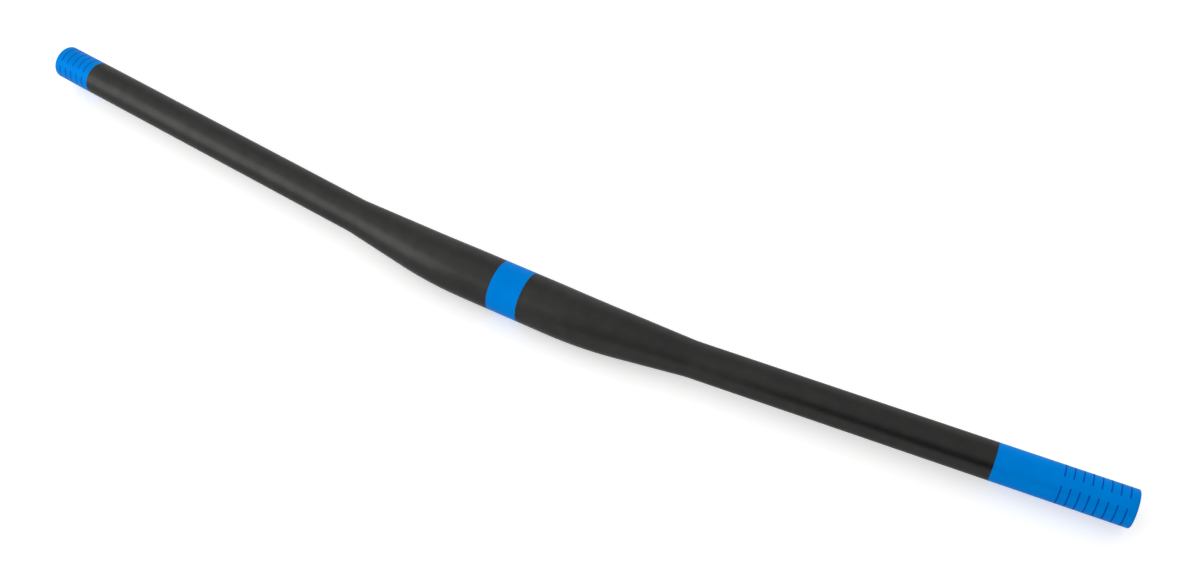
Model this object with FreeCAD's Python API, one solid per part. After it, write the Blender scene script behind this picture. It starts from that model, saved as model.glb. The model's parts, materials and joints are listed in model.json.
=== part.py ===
import FreeCAD, Part
import math
import os

# A flat mountain bike handlebar: one butted aluminium tube, stout at the stem and slim at the grips.
# Millimetres and degrees. X runs along the bar, +Y is the way its sides sweep back, and +Z is up.
# The origin is on the tube's axis, at the middle of the stem clamp.

# The line of the tube's axis
WIDTH = 740.0            # straight across, between the centres of the two end faces
BACKSWEEP = 5.0          # turn of each side towards the rider
BEND_CENTRE = 52.0       # along the axis, from the bar's middle to the middle of a bend
BEND_RADIUS = 440.0

# The outside of the tube
CLAMP_DIAMETER = 31.8
GRIP_DIAMETER = 22.2
TAPER_START = 50.0       # along the axis, where the taper's straight flank runs into the clamp's wall
TAPER_END = 116.5        # along the axis, where it runs into the grip's wall
INNER_SHOULDER = 48.0    # length of the soft turn that rounds off the first of these corners
OUTER_SHOULDER = 6.0     # length of the turn that rounds off the second

# The inside of the tube, butted to be thickest where the stem holds it
CLAMP_WALL = 2.4
GRIP_WALL = 1.8

# The cut ends
END_ROUND = 1.0          # rounded outer edge
MOUTH_CHAMFER = 0.5      # broken inner edge
MOUTH_OVERRUN = 2.0      # how far the bore's cutter runs out past an end face

# Circles that the bent neck is drawn through, from the clamp to the leg
NECK_SECTIONS = 13

# Places along the axis, measured from the bar's middle
sweep = math.radians(BACKSWEEP)
bend_start = BEND_CENTRE - BEND_RADIUS * sweep / 2
bend_end = BEND_CENTRE + BEND_RADIUS * sweep / 2
neck_start = min(TAPER_START - INNER_SHOULDER / 2, bend_start)
neck_end = max(TAPER_START + INNER_SHOULDER / 2, bend_end)
bend_end_across = bend_start + BEND_RADIUS * math.sin(sweep)
tip = bend_end + (WIDTH / 2 - bend_end_across) / math.cos(sweep)


def place_at(along):
    """Placement on the axis at a distance from the middle, with local Z along the tube and local X up."""
    turn = min(max((along - bend_start) / BEND_RADIUS, 0.0), sweep)
    before = min(along, bend_start)
    after = max(along - bend_end, 0.0)
    across = before + BEND_RADIUS * math.sin(turn) + after * math.cos(turn)
    back = BEND_RADIUS * (1 - math.cos(turn)) + after * math.sin(turn)
    up = FreeCAD.Vector(0, 0, 1)
    forward = FreeCAD.Vector(math.cos(turn), math.sin(turn), 0)
    turned = FreeCAD.Rotation(up, forward.cross(up), forward, "ZXY")
    return FreeCAD.Placement(FreeCAD.Vector(across, back, 0), turned)


def past_corner(beyond, shoulder):
    """How far past a corner, with the corner itself softened to a parabola of the shoulder's length."""
    if beyond <= -shoulder / 2:
        return 0.0
    if beyond >= shoulder / 2:
        return beyond
    return (beyond + shoulder / 2) ** 2 / (2 * shoulder)


def radius_at(along, clamp_radius, grip_radius):
    """Radius of a wall that follows the taper from the clamp's radius to the grip's."""
    slope = (grip_radius - clamp_radius) / (TAPER_END - TAPER_START)
    return clamp_radius + slope * past_corner(along - TAPER_START, INNER_SHOULDER)


def make_neck(clamp_radius, grip_radius):
    """Bent stretch beside the clamp, where the tube turns back while its wall starts to taper."""
    sections = []
    for number in range(NECK_SECTIONS):
        along = neck_start + (neck_end - neck_start) * number / (NECK_SECTIONS - 1)
        section = Part.Wire(Part.makeCircle(radius_at(along, clamp_radius, grip_radius)))
        section.Placement = place_at(along)
        sections.append(section)
    return Part.makeLoft(sections, True)


def make_leg(clamp_radius, grip_radius, end_edges):
    """Straight stretch turned about its own axis: the taper's flank, its outer shoulder, the grip and the end.

    Each profile point is (radius, height), with height along the leg from the neck. The end's edges start
    on the grip's wall and finish on the axis.
    """
    shoulder_start = TAPER_END - OUTER_SHOULDER / 2
    root = FreeCAD.Vector(radius_at(neck_end, clamp_radius, grip_radius), 0, 0)
    flank_end = FreeCAD.Vector(
        radius_at(shoulder_start, clamp_radius, grip_radius), 0, shoulder_start - neck_end
    )
    corner = FreeCAD.Vector(grip_radius, 0, TAPER_END - neck_end)
    grip_start = FreeCAD.Vector(grip_radius, 0, TAPER_END + OUTER_SHOULDER / 2 - neck_end)
    shoulder = Part.BezierCurve()
    shoulder.setPoles([flank_end, corner, grip_start])
    grip_end = end_edges[0].Vertexes[0].Point
    axis_top = end_edges[-1].Vertexes[-1].Point
    axis_foot = FreeCAD.Vector(0, 0, 0)
    outline = [
        Part.makeLine(axis_foot, root),
        Part.makeLine(root, flank_end),
        shoulder.toShape(),
        Part.makeLine(grip_start, grip_end),
        *end_edges,
        Part.makeLine(axis_top, axis_foot),
    ]
    leg = Part.Face(Part.Wire(outline)).revolve(axis_foot, FreeCAD.Vector(0, 0, 1), 360)
    leg.Placement = place_at(neck_end)
    return leg


def rounded_end():
    """End of the tube's outside, cut square with its edge rounded."""
    radius = GRIP_DIAMETER / 2
    height = tip - neck_end
    middle = END_ROUND * (1 - math.sqrt(0.5))
    start = FreeCAD.Vector(radius, 0, height - END_ROUND)
    bulge = FreeCAD.Vector(radius - middle, 0, height - middle)
    rim = FreeCAD.Vector(radius - END_ROUND, 0, height)
    edge = Part.Arc(start, bulge, rim)
    return [edge.toShape(), Part.makeLine(rim, FreeCAD.Vector(0, 0, height))]


def flared_mouth():
    """End of the bore's cutter, widened to break the mouth's edge and run out past the end face."""
    radius = GRIP_DIAMETER / 2 - GRIP_WALL
    height = tip - neck_end
    start = FreeCAD.Vector(radius, 0, height - MOUTH_CHAMFER)
    outside = FreeCAD.Vector(radius + MOUTH_CHAMFER + MOUTH_OVERRUN, 0, height + MOUTH_OVERRUN)
    top = FreeCAD.Vector(0, 0, height + MOUTH_OVERRUN)
    return [Part.makeLine(start, outside), Part.makeLine(outside, top)]


def make_bar(clamp_radius, grip_radius, end_edges):
    """Solid bar from end to end along the bent axis: the clamp, and on each side of it a neck and a leg."""
    middle = FreeCAD.Vector(-neck_start, 0, 0)
    along_bar = FreeCAD.Vector(1, 0, 0)
    clamp = Part.makeCylinder(clamp_radius, 2 * neck_start, middle, along_bar)
    side = [make_neck(clamp_radius, grip_radius), make_leg(clamp_radius, grip_radius, end_edges)]
    other_side = [piece.mirror(FreeCAD.Vector(0, 0, 0), along_bar) for piece in side]
    return clamp.multiFuse(side + other_side)


def make_handlebar():
    """The tube: its outside, with the butted bore taken out from end to end."""
    clamp_radius = CLAMP_DIAMETER / 2
    grip_radius = GRIP_DIAMETER / 2
    outside = make_bar(clamp_radius, grip_radius, rounded_end())
    bore = make_bar(clamp_radius - CLAMP_WALL, grip_radius - GRIP_WALL, flared_mouth())
    return outside.cut(bore).Solids[0]


os.makedirs("parts", exist_ok=True)
make_handlebar().exportStep("parts/handlebar.step")
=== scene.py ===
"""Looks of a flat mountain bike handlebar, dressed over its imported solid.

Sizes and places along the bar are in millimetres, as its maker would give them, and MM turns them into the
frame's metres. X runs along the bar, +Y is the way its sides sweep back, and +Z is up.
"""

import json
import logging
import math
from dataclasses import dataclass
from enum import Enum, IntEnum
from typing import Any

import bpy
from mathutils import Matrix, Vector


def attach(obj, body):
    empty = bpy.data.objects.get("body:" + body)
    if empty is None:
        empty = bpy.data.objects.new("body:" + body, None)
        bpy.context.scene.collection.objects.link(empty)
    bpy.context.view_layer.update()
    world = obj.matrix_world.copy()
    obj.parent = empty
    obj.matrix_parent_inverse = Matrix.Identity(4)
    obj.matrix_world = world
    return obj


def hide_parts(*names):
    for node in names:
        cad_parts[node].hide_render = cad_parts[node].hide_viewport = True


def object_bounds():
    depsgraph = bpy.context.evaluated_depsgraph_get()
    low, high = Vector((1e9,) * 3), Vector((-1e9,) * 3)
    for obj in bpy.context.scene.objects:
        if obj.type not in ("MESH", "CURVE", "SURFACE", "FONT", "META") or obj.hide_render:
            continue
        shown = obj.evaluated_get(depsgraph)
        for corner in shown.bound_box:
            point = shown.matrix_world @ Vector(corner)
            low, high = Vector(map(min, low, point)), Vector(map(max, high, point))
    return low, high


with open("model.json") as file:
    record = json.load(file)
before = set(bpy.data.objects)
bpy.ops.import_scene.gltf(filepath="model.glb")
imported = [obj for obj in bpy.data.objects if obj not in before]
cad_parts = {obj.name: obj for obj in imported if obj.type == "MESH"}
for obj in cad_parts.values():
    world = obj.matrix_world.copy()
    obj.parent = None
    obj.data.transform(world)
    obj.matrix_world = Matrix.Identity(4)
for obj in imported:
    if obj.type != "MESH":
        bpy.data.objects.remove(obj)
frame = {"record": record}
CAD_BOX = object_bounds()

MM = 0.001
HALF_TURN = 180.0
FULL_TURN = 360.0
BAKE_MAP = "OFBake"

# Nearly all values of a noise texture lie between these two.
NOISE_LOW = 0.3
NOISE_HIGH = 0.7

# Numbers of a Mix node's sockets for colours, which share their names with its sockets for numbers.
MIX_FACTOR = 0
MIX_FROM = 6
MIX_TO = 7
MIX_RESULT = 2

# Stops of a ramp, each with its place and its level.
Stops = tuple[tuple[float, float], ...]

log = logging.getLogger("handlebar")


def linear(colour: str) -> tuple[float, float, float, float]:
    """Turn an sRGB hex colour into the linear one that shaders take.

    Args:
        colour: Six hex digits after a hash sign, such as "#0071cc".

    Returns:
        Linear red, green and blue, and an alpha of 1.
    """
    channels = []
    for start in (1, 3, 5):
        level = int(colour[start:start + 2], 16) / 255
        # The curve of the sRGB standard: straight near black, and a power above that.
        channels.append(level / 12.92 if level <= 0.04045 else ((level + 0.055) / 1.055) ** 2.4)
    red, green, blue = channels
    return (red, green, blue, 1.0)


def add_node(
    tree: bpy.types.NodeTree,
    kind: str,
    settings: dict[str | int, Any] | None = None,
    links: dict[str | int, bpy.types.NodeSocket] | None = None,
) -> bpy.types.Node:
    """Add a node to a tree, with its settings and its links.

    Args:
        tree: Tree that the node goes into.
        kind: Type of the node, such as "ShaderNodeTexNoise".
        settings: Values of the node's properties and inputs, by name, or by number where inputs share a name.
        links: Sockets that feed the node's inputs, by the input's name or number.

    Returns:
        The new node.
    """
    node = tree.nodes.new(kind)
    for key, value in (settings or {}).items():
        if isinstance(key, str) and key not in node.inputs:
            setattr(node, key, value)
        else:
            node.inputs[key].default_value = value
    for key, socket in (links or {}).items():
        tree.links.new(socket, node.inputs[key])
    return node


def empty_material(name: str) -> bpy.types.Material:
    """Make a node material with no nodes in it yet.

    Args:
        name: Name of the material.

    Returns:
        The new material.
    """
    material = bpy.data.materials.new(name)
    material.use_nodes = True
    material.node_tree.nodes.clear()
    return material


@dataclass(frozen=True)
class ThinCoat:
    """A thin coat on the tube: a colour that clouds a little, over a finely grained surface.

    The width and depth of the grain and the width of the clouds are in millimetres.
    """

    name: str
    colour: str
    cloud_colour: str
    roughness: float
    roughness_spread: float
    metallic: float
    specular: float
    specular_tint: str
    grain: float
    grain_depth: float
    cloud: float
    grain_detail: float = 3.0
    cloud_detail: float = 2.0
    bump_strength: float = 0.5

    def build(self) -> bpy.types.Material:
        """Make the material: a clouded colour, with its gloss and surface broken by the grain.

        Returns:
            The new material.
        """
        material = empty_material(self.name)
        tree = material.node_tree
        place = add_node(tree, "ShaderNodeTexCoord")
        clouds = add_node(
            tree,
            "ShaderNodeTexNoise",
            {"Scale": 1 / (self.cloud * MM), "Detail": self.cloud_detail},
            {"Vector": place.outputs["Object"]},
        )
        grain = add_node(
            tree,
            "ShaderNodeTexNoise",
            {"Scale": 1 / (self.grain * MM), "Detail": self.grain_detail},
            {"Vector": place.outputs["Object"]},
        )
        colour = add_node(
            tree,
            "ShaderNodeMix",
            {"data_type": "RGBA", MIX_FROM: linear(self.colour), MIX_TO: linear(self.cloud_colour)},
            {MIX_FACTOR: clouds.outputs["Fac"]},
        )
        gloss = add_node(
            tree,
            "ShaderNodeMapRange",
            {
                "From Min": NOISE_LOW,
                "From Max": NOISE_HIGH,
                "To Min": self.roughness - self.roughness_spread / 2,
                "To Max": self.roughness + self.roughness_spread / 2,
            },
            {"Value": grain.outputs["Fac"]},
        )
        surface = add_node(
            tree,
            "ShaderNodeBump",
            {"Strength": self.bump_strength, "Distance": self.grain_depth * MM},
            {"Height": grain.outputs["Fac"]},
        )
        shader = add_node(
            tree,
            "ShaderNodeBsdfPrincipled",
            {
                "Metallic": self.metallic,
                "Specular IOR Level": self.specular,
                "Specular Tint": linear(self.specular_tint),
            },
            {
                "Base Color": colour.outputs[MIX_RESULT],
                "Roughness": gloss.outputs["Result"],
                "Normal": surface.outputs["Normal"],
            },
        )
        add_node(tree, "ShaderNodeOutputMaterial", links={"Surface": shader.outputs["BSDF"]})
        return material


@dataclass(frozen=True)
class DrawnAluminium:
    """Bare metal with streaks along the tube, whose width and length are in millimetres."""

    name: str
    colour: str
    streak_colour: str
    roughness: float
    roughness_spread: float
    streak_width: float
    streak_length: float
    streak_detail: float = 3.0

    def build(self) -> bpy.types.Material:
        """Make the material: a bare metal whose colour and gloss follow the drawing streaks.

        Returns:
            The new material.
        """
        material = empty_material(self.name)
        tree = material.node_tree
        place = add_node(tree, "ShaderNodeTexCoord")
        across = 1 / (self.streak_width * MM)
        stretched = add_node(
            tree,
            "ShaderNodeMapping",
            {"Scale": (1 / (self.streak_length * MM), across, across)},
            {"Vector": place.outputs["Object"]},
        )
        streaks = add_node(
            tree,
            "ShaderNodeTexNoise",
            {"Scale": 1.0, "Detail": self.streak_detail},
            {"Vector": stretched.outputs["Vector"]},
        )
        colour = add_node(
            tree,
            "ShaderNodeMix",
            {"data_type": "RGBA", MIX_FROM: linear(self.colour), MIX_TO: linear(self.streak_colour)},
            {MIX_FACTOR: streaks.outputs["Fac"]},
        )
        gloss = add_node(
            tree,
            "ShaderNodeMapRange",
            {
                "To Min": self.roughness - self.roughness_spread / 2,
                "To Max": self.roughness + self.roughness_spread / 2,
            },
            {"Value": streaks.outputs["Fac"]},
        )
        shader = add_node(
            tree,
            "ShaderNodeBsdfPrincipled",
            {"Metallic": 1.0},
            {"Base Color": colour.outputs[MIX_RESULT], "Roughness": gloss.outputs["Result"]},
        )
        add_node(tree, "ShaderNodeOutputMaterial", links={"Surface": shader.outputs["BSDF"]})
        return material


@dataclass(frozen=True)
class SeamlessPaper:
    """Studio paper, lifted by a glow of its own to the white that the camera and shiny surfaces see."""

    name: str
    colour: str
    glow_colour: str
    glow: float
    roughness: float

    def build(self) -> bpy.types.Material:
        """Make the material: its glow is seen directly, in mirrors and through glass, but lights nothing.

        Returns:
            The new material.
        """
        material = empty_material(self.name)
        tree = material.node_tree
        path = add_node(tree, "ShaderNodeLightPath")
        seen = add_node(
            tree,
            "ShaderNodeMath",
            {"operation": "ADD"},
            {0: path.outputs["Is Camera Ray"], 1: path.outputs["Is Glossy Ray"]},
        )
        shown = add_node(
            tree,
            "ShaderNodeMath",
            {"operation": "ADD"},
            {0: seen.outputs[0], 1: path.outputs["Is Transmission Ray"]},
        )
        glow = add_node(
            tree,
            "ShaderNodeMath",
            {"operation": "MULTIPLY", 1: self.glow},
            {0: shown.outputs[0]},
        )
        shader = add_node(
            tree,
            "ShaderNodeBsdfPrincipled",
            {
                "Base Color": linear(self.colour),
                "Roughness": self.roughness,
                "Specular IOR Level": 0.0,
                "Emission Color": linear(self.glow_colour),
            },
            {"Emission Strength": glow.outputs[0]},
        )
        add_node(tree, "ShaderNodeOutputMaterial", links={"Surface": shader.outputs["BSDF"]})
        return material


# Anodised aluminium, blasted before it was dyed: a neutral black a little lighter than ink, with broad soft
# highlights that show no picture of the lights, a fine even grain, and faint mottling where it took less dye.
# The blasted grain is about 0.1 mm wide. It is drawn coarser, so that a close view still shows it, and the
# mottling is drawn a little stronger for the same reason.
BLACK_ANODISING = ThinCoat(
    name="aluminium_black_anodised_blasted",
    colour="#2b2b2b",
    cloud_colour="#363635",
    roughness=0.36,
    roughness_spread=0.14,
    metallic=1.0,
    specular=0.5,
    specular_tint="#d6d6d6",
    grain=0.7,
    grain_depth=0.04,
    cloud=8.0,
)

# Sprayed lacquer: a strong clean blue that keeps its colour in the highlights, faintly wavy from the spray.
# The waves are about 0.3 mm wide. They are drawn coarser, so that a close view still shows them.
BLUE_LACQUER = ThinCoat(
    name="lacquer_blue_sprayed_satin",
    colour="#0074c9",
    cloud_colour="#007ed5",
    roughness=0.32,
    roughness_spread=0.04,
    metallic=0.1,
    specular=0.01,
    specular_tint="#00b0ff",
    grain=1.2,
    grain_depth=0.012,
    cloud=12.0,
)

# Screen-printed ink: a flat navy, duller than the lacquer under it and a little uneven from the screen.
# The screen's mesh leaves marks about 0.1 mm wide. They are drawn coarser, so that a close view shows them.
NAVY_INK = ThinCoat(
    name="ink_navy_screen_printed",
    colour="#003a98",
    cloud_colour="#0040a0",
    roughness=0.5,
    roughness_spread=0.06,
    metallic=0.0,
    specular=0.03,
    specular_tint="#ffffff",
    grain=0.7,
    grain_depth=0.008,
    cloud=4.0,
)

# Aluminium tube as drawn over a mandrel, uncoated: pale grey metal, half dull, with fine streaks along it.
# The streaks are about 0.1 mm wide. They are drawn coarser, so that a close view still shows them.
BARE_ALUMINIUM = DrawnAluminium(
    name="aluminium_drawn_bare",
    colour="#c9cacb",
    streak_colour="#a9abad",
    roughness=0.42,
    roughness_spread=0.2,
    streak_width=0.6,
    streak_length=40.0,
)

# White paper from a roll: even, matte and without gloss, so that only the bar's soft shadow shows on it.
STUDIO_PAPER = SeamlessPaper(
    name="paper_white_seamless",
    colour="#e4e4e3",
    glow_colour="#ffffff",
    glow=0.4,
    roughness=0.9,
)


class Coat(IntEnum):
    """Finishes on the tube, each with the number of its material slot."""

    BLACK = 0
    BLUE = 1
    INK = 2
    BARE = 3


class Side(IntEnum):
    """Halves of the bar, each with the sign of X on its side."""

    PLUS_X = 1
    MINUS_X = -1


class Skin(Enum):
    """Stretches of the tube's surface, each in one piece when it is unrolled."""

    MIDDLE_BAND = "blue band at the middle"
    MINUS_BAND = "blue band at the -X end, with its lip"
    PLUS_BAND = "blue band at the +X end, with its lip"
    MINUS_BLACK = "black between the bands on the -X side"
    PLUS_BLACK = "black between the bands on the +X side"
    BORE = "bare bore, with the broken edges of its mouths"


@dataclass(frozen=True)
class TubePlace:
    """A place on the tube: along its axis from the middle, out from the axis, and round from the top."""

    along: float
    out: float
    round: float


@dataclass(frozen=True)
class BentAxis:
    """Line through the tube's middle: straight at the clamp, then an arc and a straight leg on each side.

    The sweep is in radians.
    """

    sweep: float
    half_width: float
    bend_centre: float = 52.0
    bend_radius: float = 440.0

    @property
    def bend_start(self) -> float:
        """Where the arc starts, along the axis from the bar's middle."""
        return self.bend_centre - self.bend_radius * self.sweep / 2

    @property
    def bend_end(self) -> float:
        """Where the arc ends, along the axis from the bar's middle."""
        return self.bend_centre + self.bend_radius * self.sweep / 2

    @property
    def tip(self) -> float:
        """Where the tube ends, along the axis from the bar's middle."""
        bend_end_across = self.bend_start + self.bend_radius * math.sin(self.sweep)
        return self.bend_end + (self.half_width - bend_end_across) / math.cos(self.sweep)

    def turn(self, along: float) -> float:
        """Angle of the axis about Z at a place, in radians: mirrored on the -X side."""
        turned = min(max((abs(along) - self.bend_start) / self.bend_radius, 0.0), self.sweep)
        return math.copysign(turned, along)

    def point(self, along: float) -> Vector:
        """Find the point of the axis at a place.

        Args:
            along: Place along the axis from the bar's middle.

        Returns:
            The point in the frame, in metres.
        """
        reach = abs(along)
        turned = abs(self.turn(along))
        after = max(reach - self.bend_end, 0.0)
        across = min(reach, self.bend_start) + self.bend_radius * math.sin(turned) + after * math.cos(turned)
        back = self.bend_radius * (1 - math.cos(turned)) + after * math.sin(turned)
        return Vector((math.copysign(across, along), back, 0.0)) * MM

    def locate(self, point: Vector) -> TubePlace:
        """Find the place on the tube that a point of the mesh has.

        Args:
            point: Point in the frame, in metres.

        Returns:
            Its place, with the angle round the tube in degrees from the top, towards the front.
        """
        across = abs(point.x) / MM
        back = point.y / MM
        up = point.z / MM
        turned = math.atan2(across - self.bend_start, self.bend_radius - back)
        if turned <= 0.0:
            along = across
            behind = back
        elif turned <= self.sweep:
            along = self.bend_start + self.bend_radius * turned
            behind = self.bend_radius - math.hypot(across - self.bend_start, self.bend_radius - back)
        else:
            corner = self.point(self.bend_end) / MM
            past = Vector((across - corner.x, back - corner.y))
            along = self.bend_end + past.dot(Vector((math.cos(self.sweep), math.sin(self.sweep))))
            behind = past.dot(Vector((-math.sin(self.sweep), math.cos(self.sweep))))
        return TubePlace(
            along=math.copysign(along, point.x),
            out=math.hypot(behind, up),
            round=math.degrees(math.atan2(-behind, up)),
        )


@dataclass(frozen=True)
class TaperedWall:
    """A wall of the tube, stout at the clamp and slim at the grips, with soft shoulders to its taper."""

    clamp_radius: float
    grip_radius: float
    taper_start: float = 50.0
    taper_end: float = 116.5
    inner_shoulder: float = 48.0
    outer_shoulder: float = 6.0

    @staticmethod
    def past_corner(beyond: float, shoulder: float) -> float:
        """Get how far past a softened corner a place is.

        Args:
            beyond: Distance past the sharp corner.
            shoulder: Length of the parabola that softens it.

        Returns:
            The distance that counts: none before the shoulder, and all of it after.
        """
        if beyond <= -shoulder / 2:
            return 0.0
        if beyond >= shoulder / 2:
            return beyond
        return (beyond + shoulder / 2) ** 2 / (2 * shoulder)

    def radius(self, along: float) -> float:
        """Get the radius of the wall at a place.

        Args:
            along: Place along the axis from the bar's middle.

        Returns:
            The radius there.
        """
        slope = (self.grip_radius - self.clamp_radius) / (self.taper_end - self.taper_start)
        started = self.past_corner(abs(along) - self.taper_start, self.inner_shoulder)
        ended = self.past_corner(abs(along) - self.taper_end, self.outer_shoulder)
        return self.clamp_radius + slope * (started - ended)

    def shoulder_places(self, steps: int) -> list[float]:
        """List the places along one side where the wall bends.

        Args:
            steps: Steps through each shoulder.

        Returns:
            Places from the start of the inner shoulder to the end of the outer one.
        """
        places = []
        for corner, shoulder in (
            (self.taper_start, self.inner_shoulder),
            (self.taper_end, self.outer_shoulder),
        ):
            places += [corner + shoulder * (step / steps - 0.5) for step in range(steps + 1)]
        return places


@dataclass(frozen=True)
class CutScale:
    """Printed cut lines on one end of the bar, counted from the end.

    Each line is open over part of the tube, between two angles in degrees from the top.
    """

    side: Side
    first: float
    count: int
    open_from: float
    open_to: float
    pitch: float = 5.0
    line: float = 0.7

    def edges(self, tip: float) -> list[float]:
        """List the places along the axis where the lines start and end.

        Args:
            tip: Where the tube ends, along the axis.

        Returns:
            Both edges of each line.
        """
        places = []
        for number in range(self.count):
            middle = tip - self.first - number * self.pitch
            places += [self.side * (middle - self.line / 2), self.side * (middle + self.line / 2)]
        return places

    def covers(self, place: TubePlace, tip: float) -> bool:
        """Tell whether a line is printed at a place on the tube.

        Args:
            place: Middle of a face.
            tip: Where the tube ends, along the axis.

        Returns:
            True on a line, outside its open part.
        """
        from_first = tip - place.along * self.side - self.first
        number = round(from_first / self.pitch)
        on_line = abs(from_first - number * self.pitch) < self.line / 2
        is_open = self.open_from < place.round < self.open_to
        return on_line and 0 <= number < self.count and not is_open


@dataclass(frozen=True)
class Ring:
    """One ring of the tube's mesh: where it stands along the axis, and its radius."""

    along: float
    radius: float


@dataclass(frozen=True)
class MapStrip:
    """A stretch of the tube's surface, unrolled onto a rectangle of the map from a seam at the underside."""

    start: float
    end: float
    left: float
    right: float
    bottom: float
    top: float

    def spot(self, run: float, turn: float) -> tuple[float, float]:
        """Find the spot on the map of a place on the surface.

        Args:
            run: How far along the stretch, on the same scale as its start and end.
            turn: How far round the tube, in degrees from the top.

        Returns:
            The spot, in parts of the map's width and height.
        """
        across = (run - self.start) / (self.end - self.start)
        upward = (turn + HALF_TURN) / FULL_TURN
        return (
            self.left + (self.right - self.left) * across,
            self.bottom + (self.top - self.bottom) * upward,
        )


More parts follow.
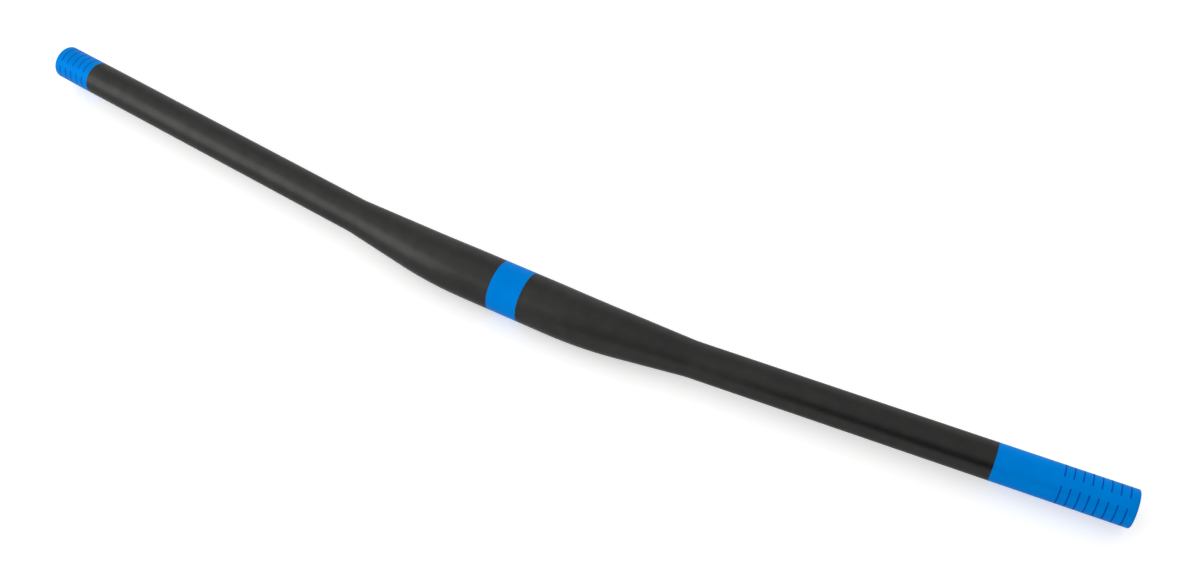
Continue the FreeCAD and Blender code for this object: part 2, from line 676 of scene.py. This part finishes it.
@dataclass
class Handlebar:
    """The bar: one tapered and bent tube with open ends, anodised black, with blue bands and cut lines."""

    axis: BentAxis
    outside: TaperedWall
    inside: TaperedWall
    clamp_wall: float = 2.4
    end_round: float = 1.0
    mouth_chamfer: float = 0.5
    middle_band: float = 20.0
    plus_band: float = 77.0
    minus_band: float = 30.0
    plus_scale: CutScale = CutScale(Side.PLUS_X, first=5.4, count=8, open_from=6.0, open_to=33.0)
    minus_scale: CutScale = CutScale(Side.MINUS_X, first=5.1, count=5, open_from=34.0, open_to=50.0)
    # How fine the mesh is.
    ring_points: int = 128
    shoulder_steps: int = 24
    bore_steps: int = 12
    round_steps: int = 6
    # Points nearer than this are merged, and a turn of more than this many degrees stays a sharp edge.
    merge_distance: float = 0.001
    sharp_turn: float = 25.0
    # Heights of the map's rows, and the gap round each strip, in parts of the map.
    band_row: float = 0.4
    black_row: float = 0.245
    bore_row: float = 0.08
    map_gap: float = 0.006

    @classmethod
    def from_record(cls, record: dict[str, Any]) -> "Handlebar":
        """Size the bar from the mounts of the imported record.

        Args:
            record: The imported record, whose mounts give the clamp, the grips and the bores.

        Returns:
            A bar with the solid's sizes.
        """
        mounts = {mount["name"]: mount for mount in record["mounts"]}
        clamp = mounts["stem_clamp"]["dims"]["r_mm"]
        grip = mounts["left_grip"]
        bore = mounts["left_end_bore"]["dims"]["r_mm"]
        direction = Vector(grip["axis"])
        grip_end = Vector(grip["pos_m"]) / MM + direction * (grip["dims"]["length_mm"] / 2)
        end_face = grip_end + direction * cls.end_round
        return cls(
            axis=BentAxis(sweep=math.atan2(direction.y, direction.x), half_width=end_face.x),
            outside=TaperedWall(clamp, grip["dims"]["r_mm"]),
            inside=TaperedWall(clamp - cls.clamp_wall, bore),
        )

    def outside_rings(self) -> list[Ring]:
        """List the rings of the outer wall.

        Returns:
            Rings from the -X end's rounded edge to the +X end's.
        """
        tip = self.axis.tip
        straight_end = tip - self.end_round
        places = {self.middle_band / 2, -self.middle_band / 2, tip - self.plus_band, self.minus_band - tip}
        places.update(self.plus_scale.edges(tip))
        places.update(self.minus_scale.edges(tip))
        for side in Side:
            places.add(side * straight_end)
            places.update(side * place for place in self.outside.shoulder_places(self.shoulder_steps))
        return [Ring(place, self.outside.radius(place)) for place in sorted(places)]

    def bore_rings(self) -> list[Ring]:
        """List the rings of the bore's wall.

        Returns:
            Rings from the +X mouth back to the -X mouth.
        """
        places = set()
        for side in Side:
            places.add(side * (self.axis.tip - self.mouth_chamfer))
            places.update(side * place for place in self.inside.shoulder_places(self.bore_steps))
        return [Ring(place, self.inside.radius(place)) for place in sorted(places, reverse=True)]

    def lip_rings(self, side: Side) -> list[Ring]:
        """List the rings of an end's lip, from its rounded outer edge to the broken edge of the bore.

        Args:
            side: End of the bar.

        Returns:
            Rings after the last one of the outer wall, up to the end face's inner edge.
        """
        tip = self.axis.tip
        rings = []
        for step in range(1, self.round_steps + 1):
            angle = math.pi / 2 * step / self.round_steps
            along = tip - self.end_round * (1 - math.sin(angle))
            radius = self.outside.grip_radius - self.end_round * (1 - math.cos(angle))
            rings.append(Ring(side * along, radius))
        rings.append(Ring(side * tip, self.inside.grip_radius + self.mouth_chamfer))
        return rings

    def rings(self) -> list[Ring]:
        """List all rings: along the outside, round the +X lip, back through the bore, round the -X lip."""
        back_out = list(reversed(self.lip_rings(Side.MINUS_X)))
        return self.outside_rings() + self.lip_rings(Side.PLUS_X) + self.bore_rings() + back_out

    def extrude_ring(self, old: Ring, new: Ring) -> None:
        """Extrude the selected ring to the next one: moved along the axis, turned with it and resized.

        Args:
            old: Ring that is selected.
            new: Ring to reach.
        """
        centre = self.axis.point(new.along)
        shift = centre - self.axis.point(old.along)
        bpy.ops.mesh.extrude_region_move(TRANSFORM_OT_translate={"value": shift, "orient_type": "GLOBAL"})
        turn = self.axis.turn(new.along) - self.axis.turn(old.along)
        if turn:
            bpy.ops.transform.rotate(value=-turn, orient_axis="Z", center_override=centre)
        growth = new.radius / old.radius
        if growth != 1.0:
            bpy.ops.transform.resize(value=(growth, growth, growth), center_override=centre)

    def model(self) -> bpy.types.Object:
        """Model the tube from a circle, extruded ring by ring along its outside and back through its bore.

        Returns:
            The tube, closed and smooth, at the frame's origin.
        """
        rings = self.rings()
        first = rings[0]
        bpy.ops.object.select_all(action="DESELECT")
        bpy.ops.mesh.primitive_circle_add(
            vertices=self.ring_points,
            radius=first.radius * MM,
            location=self.axis.point(first.along),
            rotation=(0.0, math.pi / 2, self.axis.turn(first.along)),
        )
        tube = bpy.context.active_object
        tube.name = "handlebar_tube"
        bpy.ops.object.transform_apply(location=True, rotation=True, scale=True)
        bpy.ops.object.mode_set(mode="EDIT")
        bpy.ops.mesh.select_mode(type="EDGE")
        bpy.ops.mesh.select_all(action="SELECT")
        for old, new in zip(rings, rings[1:]):
            self.extrude_ring(old, new)
        bpy.ops.mesh.select_all(action="DESELECT")
        bpy.ops.mesh.select_non_manifold()
        bpy.ops.mesh.bridge_edge_loops()
        bpy.ops.mesh.select_all(action="SELECT")
        bpy.ops.mesh.remove_doubles(threshold=self.merge_distance * MM)
        bpy.ops.mesh.normals_make_consistent(inside=False)
        bpy.ops.object.mode_set(mode="OBJECT")
        bpy.ops.object.shade_smooth_by_angle(angle=math.radians(self.sharp_turn))
        return tube

    def skin_at(self, place: TubePlace) -> Skin:
        """Tell which stretch of the surface a place is on.

        Args:
            place: Middle of a face.

        Returns:
            The stretch.
        """
        if place.out < self.inside.radius(place.along) + self.mouth_chamfer:
            return Skin.BORE
        if abs(place.along) < self.middle_band / 2:
            return Skin.MIDDLE_BAND
        if place.along > 0.0:
            return Skin.PLUS_BAND if place.along > self.axis.tip - self.plus_band else Skin.PLUS_BLACK
        return Skin.MINUS_BAND if place.along < self.minus_band - self.axis.tip else Skin.MINUS_BLACK

    def coat_at(self, place: TubePlace) -> Coat:
        """Choose the finish at a place on the tube.

        Args:
            place: Middle of a face.

        Returns:
            The finish of that face.
        """
        skin = self.skin_at(place)
        if skin is Skin.BORE:
            return Coat.BARE
        if skin in (Skin.MINUS_BLACK, Skin.PLUS_BLACK):
            return Coat.BLACK
        tip = self.axis.tip
        printed = self.plus_scale.covers(place, tip) or self.minus_scale.covers(place, tip)
        return Coat.INK if printed else Coat.BLUE

    def dress(self, tube: bpy.types.Object) -> None:
        """Give each face of the tube its finish.

        Args:
            tube: The modelled tube.
        """
        finishes = {
            Coat.BLACK: BLACK_ANODISING,
            Coat.BLUE: BLUE_LACQUER,
            Coat.INK: NAVY_INK,
            Coat.BARE: BARE_ALUMINIUM,
        }
        for coat in Coat:
            tube.data.materials.append(finishes[coat].build())
        for face in tube.data.polygons:
            face.material_index = self.coat_at(self.axis.locate(face.center))

    def map_strips(self) -> dict[Skin, MapStrip]:
        """Lay out the map: the bands large, so that their fine lines stay crisp, and the bore small.

        Returns:
            The strip of each stretch of the surface.
        """
        tip = self.axis.tip
        middle = self.middle_band / 2
        plus_edge = tip - self.plus_band
        minus_edge = self.minus_band - tip
        mouth = self.inside.grip_radius + self.mouth_chamfer
        lip_end = tip + self.outside.grip_radius - mouth
        mouth_end = tip + self.mouth_chamfer
        bands = [
            (Skin.MIDDLE_BAND, -middle, middle),
            (Skin.MINUS_BAND, -lip_end, minus_edge),
            (Skin.PLUS_BAND, plus_edge, lip_end),
        ]
        rows = [
            (self.band_row, bands),
            (self.black_row, [(Skin.MINUS_BLACK, minus_edge, -middle)]),
            (self.black_row, [(Skin.PLUS_BLACK, middle, plus_edge)]),
            (self.bore_row, [(Skin.BORE, -mouth_end, mouth_end)]),
        ]
        strips = {}
        bottom = self.map_gap
        for height, stretches in rows:
            length = sum(end - start for _, start, end in stretches)
            scale = (1 - self.map_gap * (len(stretches) + 1)) / length
            left = self.map_gap
            for skin, start, end in stretches:
                right = left + (end - start) * scale
                strips[skin] = MapStrip(start, end, left, right, bottom, bottom + height)
                left = right + self.map_gap
            bottom += height + self.map_gap
        return strips

    def unroll(self, tube: bpy.types.Object) -> None:
        """Unroll the tube's surface onto the map that its finishes are baked through.

        Args:
            tube: The modelled tube.
        """
        strips = self.map_strips()
        layer = tube.data.uv_layers.new(name=BAKE_MAP)
        for face in tube.data.polygons:
            middle = self.axis.locate(face.center)
            skin = self.skin_at(middle)
            wall = self.inside if skin is Skin.BORE else self.outside
            for loop in face.loop_indices:
                corner = self.axis.locate(tube.data.vertices[tube.data.loops[loop].vertex_index].co)
                over_edge = abs(wall.radius(corner.along) - corner.out)
                run = corner.along + math.copysign(over_edge, corner.along)
                # A corner on the seam counts on its face's side of it.
                turn = corner.round + FULL_TURN * round((middle.round - corner.round) / FULL_TURN)
                layer.data[loop].uv = strips[skin].spot(run, turn)

    def build(self) -> bpy.types.Object:
        """Model and dress the bar, in place of its solid.

        Returns:
            The finished tube.
        """
        tube = self.model()
        self.dress(tube)
        self.unroll(tube)
        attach(tube, "root")
        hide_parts("handlebar")
        return tube


@dataclass(frozen=True)
class LightTent:
    """A tent of white cloth over the bar, lit from outside: bright at its left and dark at its front right.

    Each side is listed in stops from the front's foot, over the top, to the rear's foot: the angle up from
    the front, in degrees, and the brightness of the cloth there. A brightness of 1 all round would show a
    colour as it is written.
    """

    left: Stops = (
        (0.0, 1.3),
        (12.0, 1.5),
        (26.0, 1.7),
        (40.0, 1.7),
        (60.0, 1.6),
        (90.0, 1.6),
        (112.0, 1.3),
        (140.0, 1.15),
        (158.0, 1.5),
        (180.0, 1.7),
    )
    right: Stops = (
        (0.0, 0.0),
        (34.0, 0.0),
        (48.0, 0.7),
        (58.0, 0.93),
        (130.0, 0.9),
        (150.0, 1.0),
        (164.0, 1.45),
        (180.0, 1.6),
    )
    # How far the cloth is like the left side, by the part of the way across from right to left.
    leftness: Stops = ((0.505, 0.0), (0.56, 0.5), (0.67, 0.55), (0.73, 1.0))
    # How much is left of all brightness, on the same way.
    right_fade: Stops = ((0.1, 0.4), (0.45, 1.0))
    # The least brightness near the ground, by the height: white all round, as the background of a low view.
    foot: Stops = ((0.13, 1.0), (0.19, 0.0))
    brightest: float = 4.0

    def in_parts(self, stops: Stops, span: float) -> Stops:
        """Give stops as parts of the span that their places run over and of the brightest level."""
        return tuple((place / span, level / self.brightest) for place, level in stops)

    @staticmethod
    def set_stops(ramp: bpy.types.ColorRamp, stops: Stops) -> None:
        """Set a new ramp to greys with soft turns at its stops.

        Args:
            ramp: Ramp as it comes, with two stops.
            stops: Place and grey of each stop, both from 0 to 1.
        """
        ramp.interpolation = "EASE"
        for number, (place, grey) in enumerate(stops):
            stop = ramp.elements[number] if number < len(ramp.elements) else ramp.elements.new(1.0)
            stop.position = place
            stop.color = (grey, grey, grey, 1.0)

    def build(self) -> bpy.types.World:
        """Make the tent as a world, whose brightness depends on the direction alone.

        Returns:
            The new world.
        """
        world = bpy.data.worlds.new("light_tent")
        world.use_nodes = True
        tree = world.node_tree
        tree.nodes.clear()
        look = add_node(tree, "ShaderNodeTexCoord")
        axes = add_node(tree, "ShaderNodeSeparateXYZ", links={0: look.outputs["Generated"]})
        front = add_node(tree, "ShaderNodeMath", {"operation": "MULTIPLY", 1: -1.0}, {0: axes.outputs["Y"]})
        rise = add_node(
            tree,
            "ShaderNodeMath",
            {"operation": "ARCTAN2"},
            {0: axes.outputs["Z"], 1: front.outputs[0]},
        )
        part = add_node(
            tree,
            "ShaderNodeMath",
            {"operation": "DIVIDE", 1: math.pi, "use_clamp": True},
            {0: rise.outputs[0]},
        )
        leftward = add_node(
            tree,
            "ShaderNodeMapRange",
            {"From Min": 1.0, "From Max": -1.0},
            {"Value": axes.outputs["X"]},
        )
        greys = {}
        for name, stops, source in (
            ("leftness", self.leftness, leftward.outputs["Result"]),
            ("right fade", self.right_fade, leftward.outputs["Result"]),
            ("right", self.in_parts(self.right, span=HALF_TURN), part.outputs[0]),
            ("left", self.in_parts(self.left, span=HALF_TURN), part.outputs[0]),
            ("foot", self.in_parts(self.foot, span=1.0), axes.outputs["Z"]),
        ):
            node = add_node(tree, "ShaderNodeValToRGB", {"label": name}, {"Fac": source})
            self.set_stops(node.color_ramp, stops)
            greys[name] = node.outputs["Color"]
        cloth = add_node(
            tree,
            "ShaderNodeMix",
            {"data_type": "RGBA"},
            {MIX_FACTOR: greys["leftness"], MIX_FROM: greys["right"], MIX_TO: greys["left"]},
        )
        faded = add_node(
            tree,
            "ShaderNodeMix",
            {"data_type": "RGBA", "blend_type": "MULTIPLY", MIX_FACTOR: 1.0},
            {MIX_FROM: cloth.outputs[MIX_RESULT], MIX_TO: greys["right fade"]},
        )
        whole = add_node(
            tree,
            "ShaderNodeMix",
            {"data_type": "RGBA", "blend_type": "LIGHTEN", MIX_FACTOR: 1.0},
            {MIX_FROM: faded.outputs[MIX_RESULT], MIX_TO: greys["foot"]},
        )
        light = add_node(
            tree,
            "ShaderNodeBackground",
            {"Strength": self.brightest},
            {"Color": whole.outputs[MIX_RESULT]},
        )
        add_node(tree, "ShaderNodeOutputWorld", links={"Surface": light.outputs["Background"]})
        return world


@dataclass(frozen=True)
class Softbox:
    """A soft lamp with a rectangle of cloth, whose level is on the same scale as the tent's brightness.

    Its places and its size are in metres.
    """

    name: str
    place: tuple[float, float, float]
    aim: tuple[float, float, float]
    width: float
    height: float
    level: float
    # Watts that a square metre of such cloth takes for each unit of brightness.
    watts: float = 4.0

    def build(self) -> bpy.types.Object:
        """Set up the lamp, with its power worked out from how bright its cloth is.

        Returns:
            The lamp, which the camera doesn't see.
        """
        bpy.ops.object.select_all(action="DESELECT")
        facing = (Vector(self.aim) - Vector(self.place)).to_track_quat("-Z", "Y").to_euler()
        bpy.ops.object.light_add(type="AREA", location=self.place, rotation=facing)
        lamp = bpy.context.active_object
        lamp.name = self.name
        lamp.data.shape = "RECTANGLE"
        lamp.data.size = self.width
        lamp.data.size_y = self.height
        lamp.data.energy = self.watts * self.level * self.width * self.height
        lamp.visible_camera = False
        return lamp


# A large one in front of the -X end, which lights that end a little more than the rest of the bar.
END_SOFTBOX = Softbox(
    name="softbox_front_left",
    place=(-0.95, -0.75, 0.45),
    aim=(-0.25, 0.0, 0.0),
    width=0.9,
    height=0.9,
    level=1.35,
)

# A small one close to the +X taper, which keeps the tent's dark stretch off it.
TAPER_SOFTBOX = Softbox(
    name="softbox_taper",
    place=(0.103, -0.118, 0.052),
    aim=(0.099, 0.005, 0.0),
    width=0.102,
    height=0.085,
    level=0.38,
)


@dataclass(frozen=True)
class Studio:
    """White paper under the bar, a light tent over it, and the photograph's camera.

    The paper's size is in metres, and the camera's turns are in degrees.
    """

    floor_size: float = 60.0
    camera_place: tuple[float, float, float] = (271.6, -373.2, 677.3)
    camera_tilt: float = 34.12
    camera_roll: float = 1.304
    camera_heading: float = 27.588
    lens: float = 40.592
    sensor: float = 36.0
    nearest: float = 10.0

    def build_floor(self) -> bpy.types.Object:
        """Lay the paper under the lowest point of the bar.

        Returns:
            The floor.
        """
        bpy.ops.object.select_all(action="DESELECT")
        bpy.ops.mesh.primitive_plane_add(size=self.floor_size, location=(0.0, 0.0, CAD_BOX[0][2]))
        floor = bpy.context.active_object
        floor.name = "studio_floor"
        floor.data.materials.append(STUDIO_PAPER.build())
        return floor

    def light(self) -> bpy.types.World:
        """Put the light tent over the scene."""
        bpy.context.scene.world = LightTent().build()
        return bpy.context.scene.world

    def build_camera(self) -> bpy.types.Object:
        """Set the camera where the photograph was taken from.

        Returns:
            The camera, which the scene then uses.
        """
        bpy.ops.object.select_all(action="DESELECT")
        turns = (self.camera_tilt, self.camera_roll, self.camera_heading)
        bpy.ops.object.camera_add(
            location=Vector(self.camera_place) * MM,
            rotation=[math.radians(turn) for turn in turns],
        )
        camera = bpy.context.active_object
        camera.data.sensor_width = self.sensor
        camera.data.lens = self.lens
        camera.data.clip_start = self.nearest * MM
        bpy.context.scene.camera = camera
        return camera


def main() -> None:
    """Build the bar and its studio."""
    logging.basicConfig(level=logging.INFO, format="%(name)s: %(message)s")
    bpy.context.scene.view_settings.view_transform = "Standard"
    tube = Handlebar.from_record(frame["record"]).build()
    log.info("%s: %d faces, %d finishes", tube.name, len(tube.data.polygons), len(tube.data.materials))
    studio = Studio()
    floor = studio.build_floor()
    log.info("%s: %.0f m square", floor.name, studio.floor_size)
    tent = studio.light()
    log.info("%s: the light from all round", tent.name)
    for softbox in (END_SOFTBOX, TAPER_SOFTBOX):
        lamp = softbox.build()
        log.info("%s: %.3f W", lamp.name, lamp.data.energy)
    camera = studio.build_camera()
    log.info("%s: %.1f mm lens", camera.name, camera.data.lens)


if __name__ == "__main__":
    main()
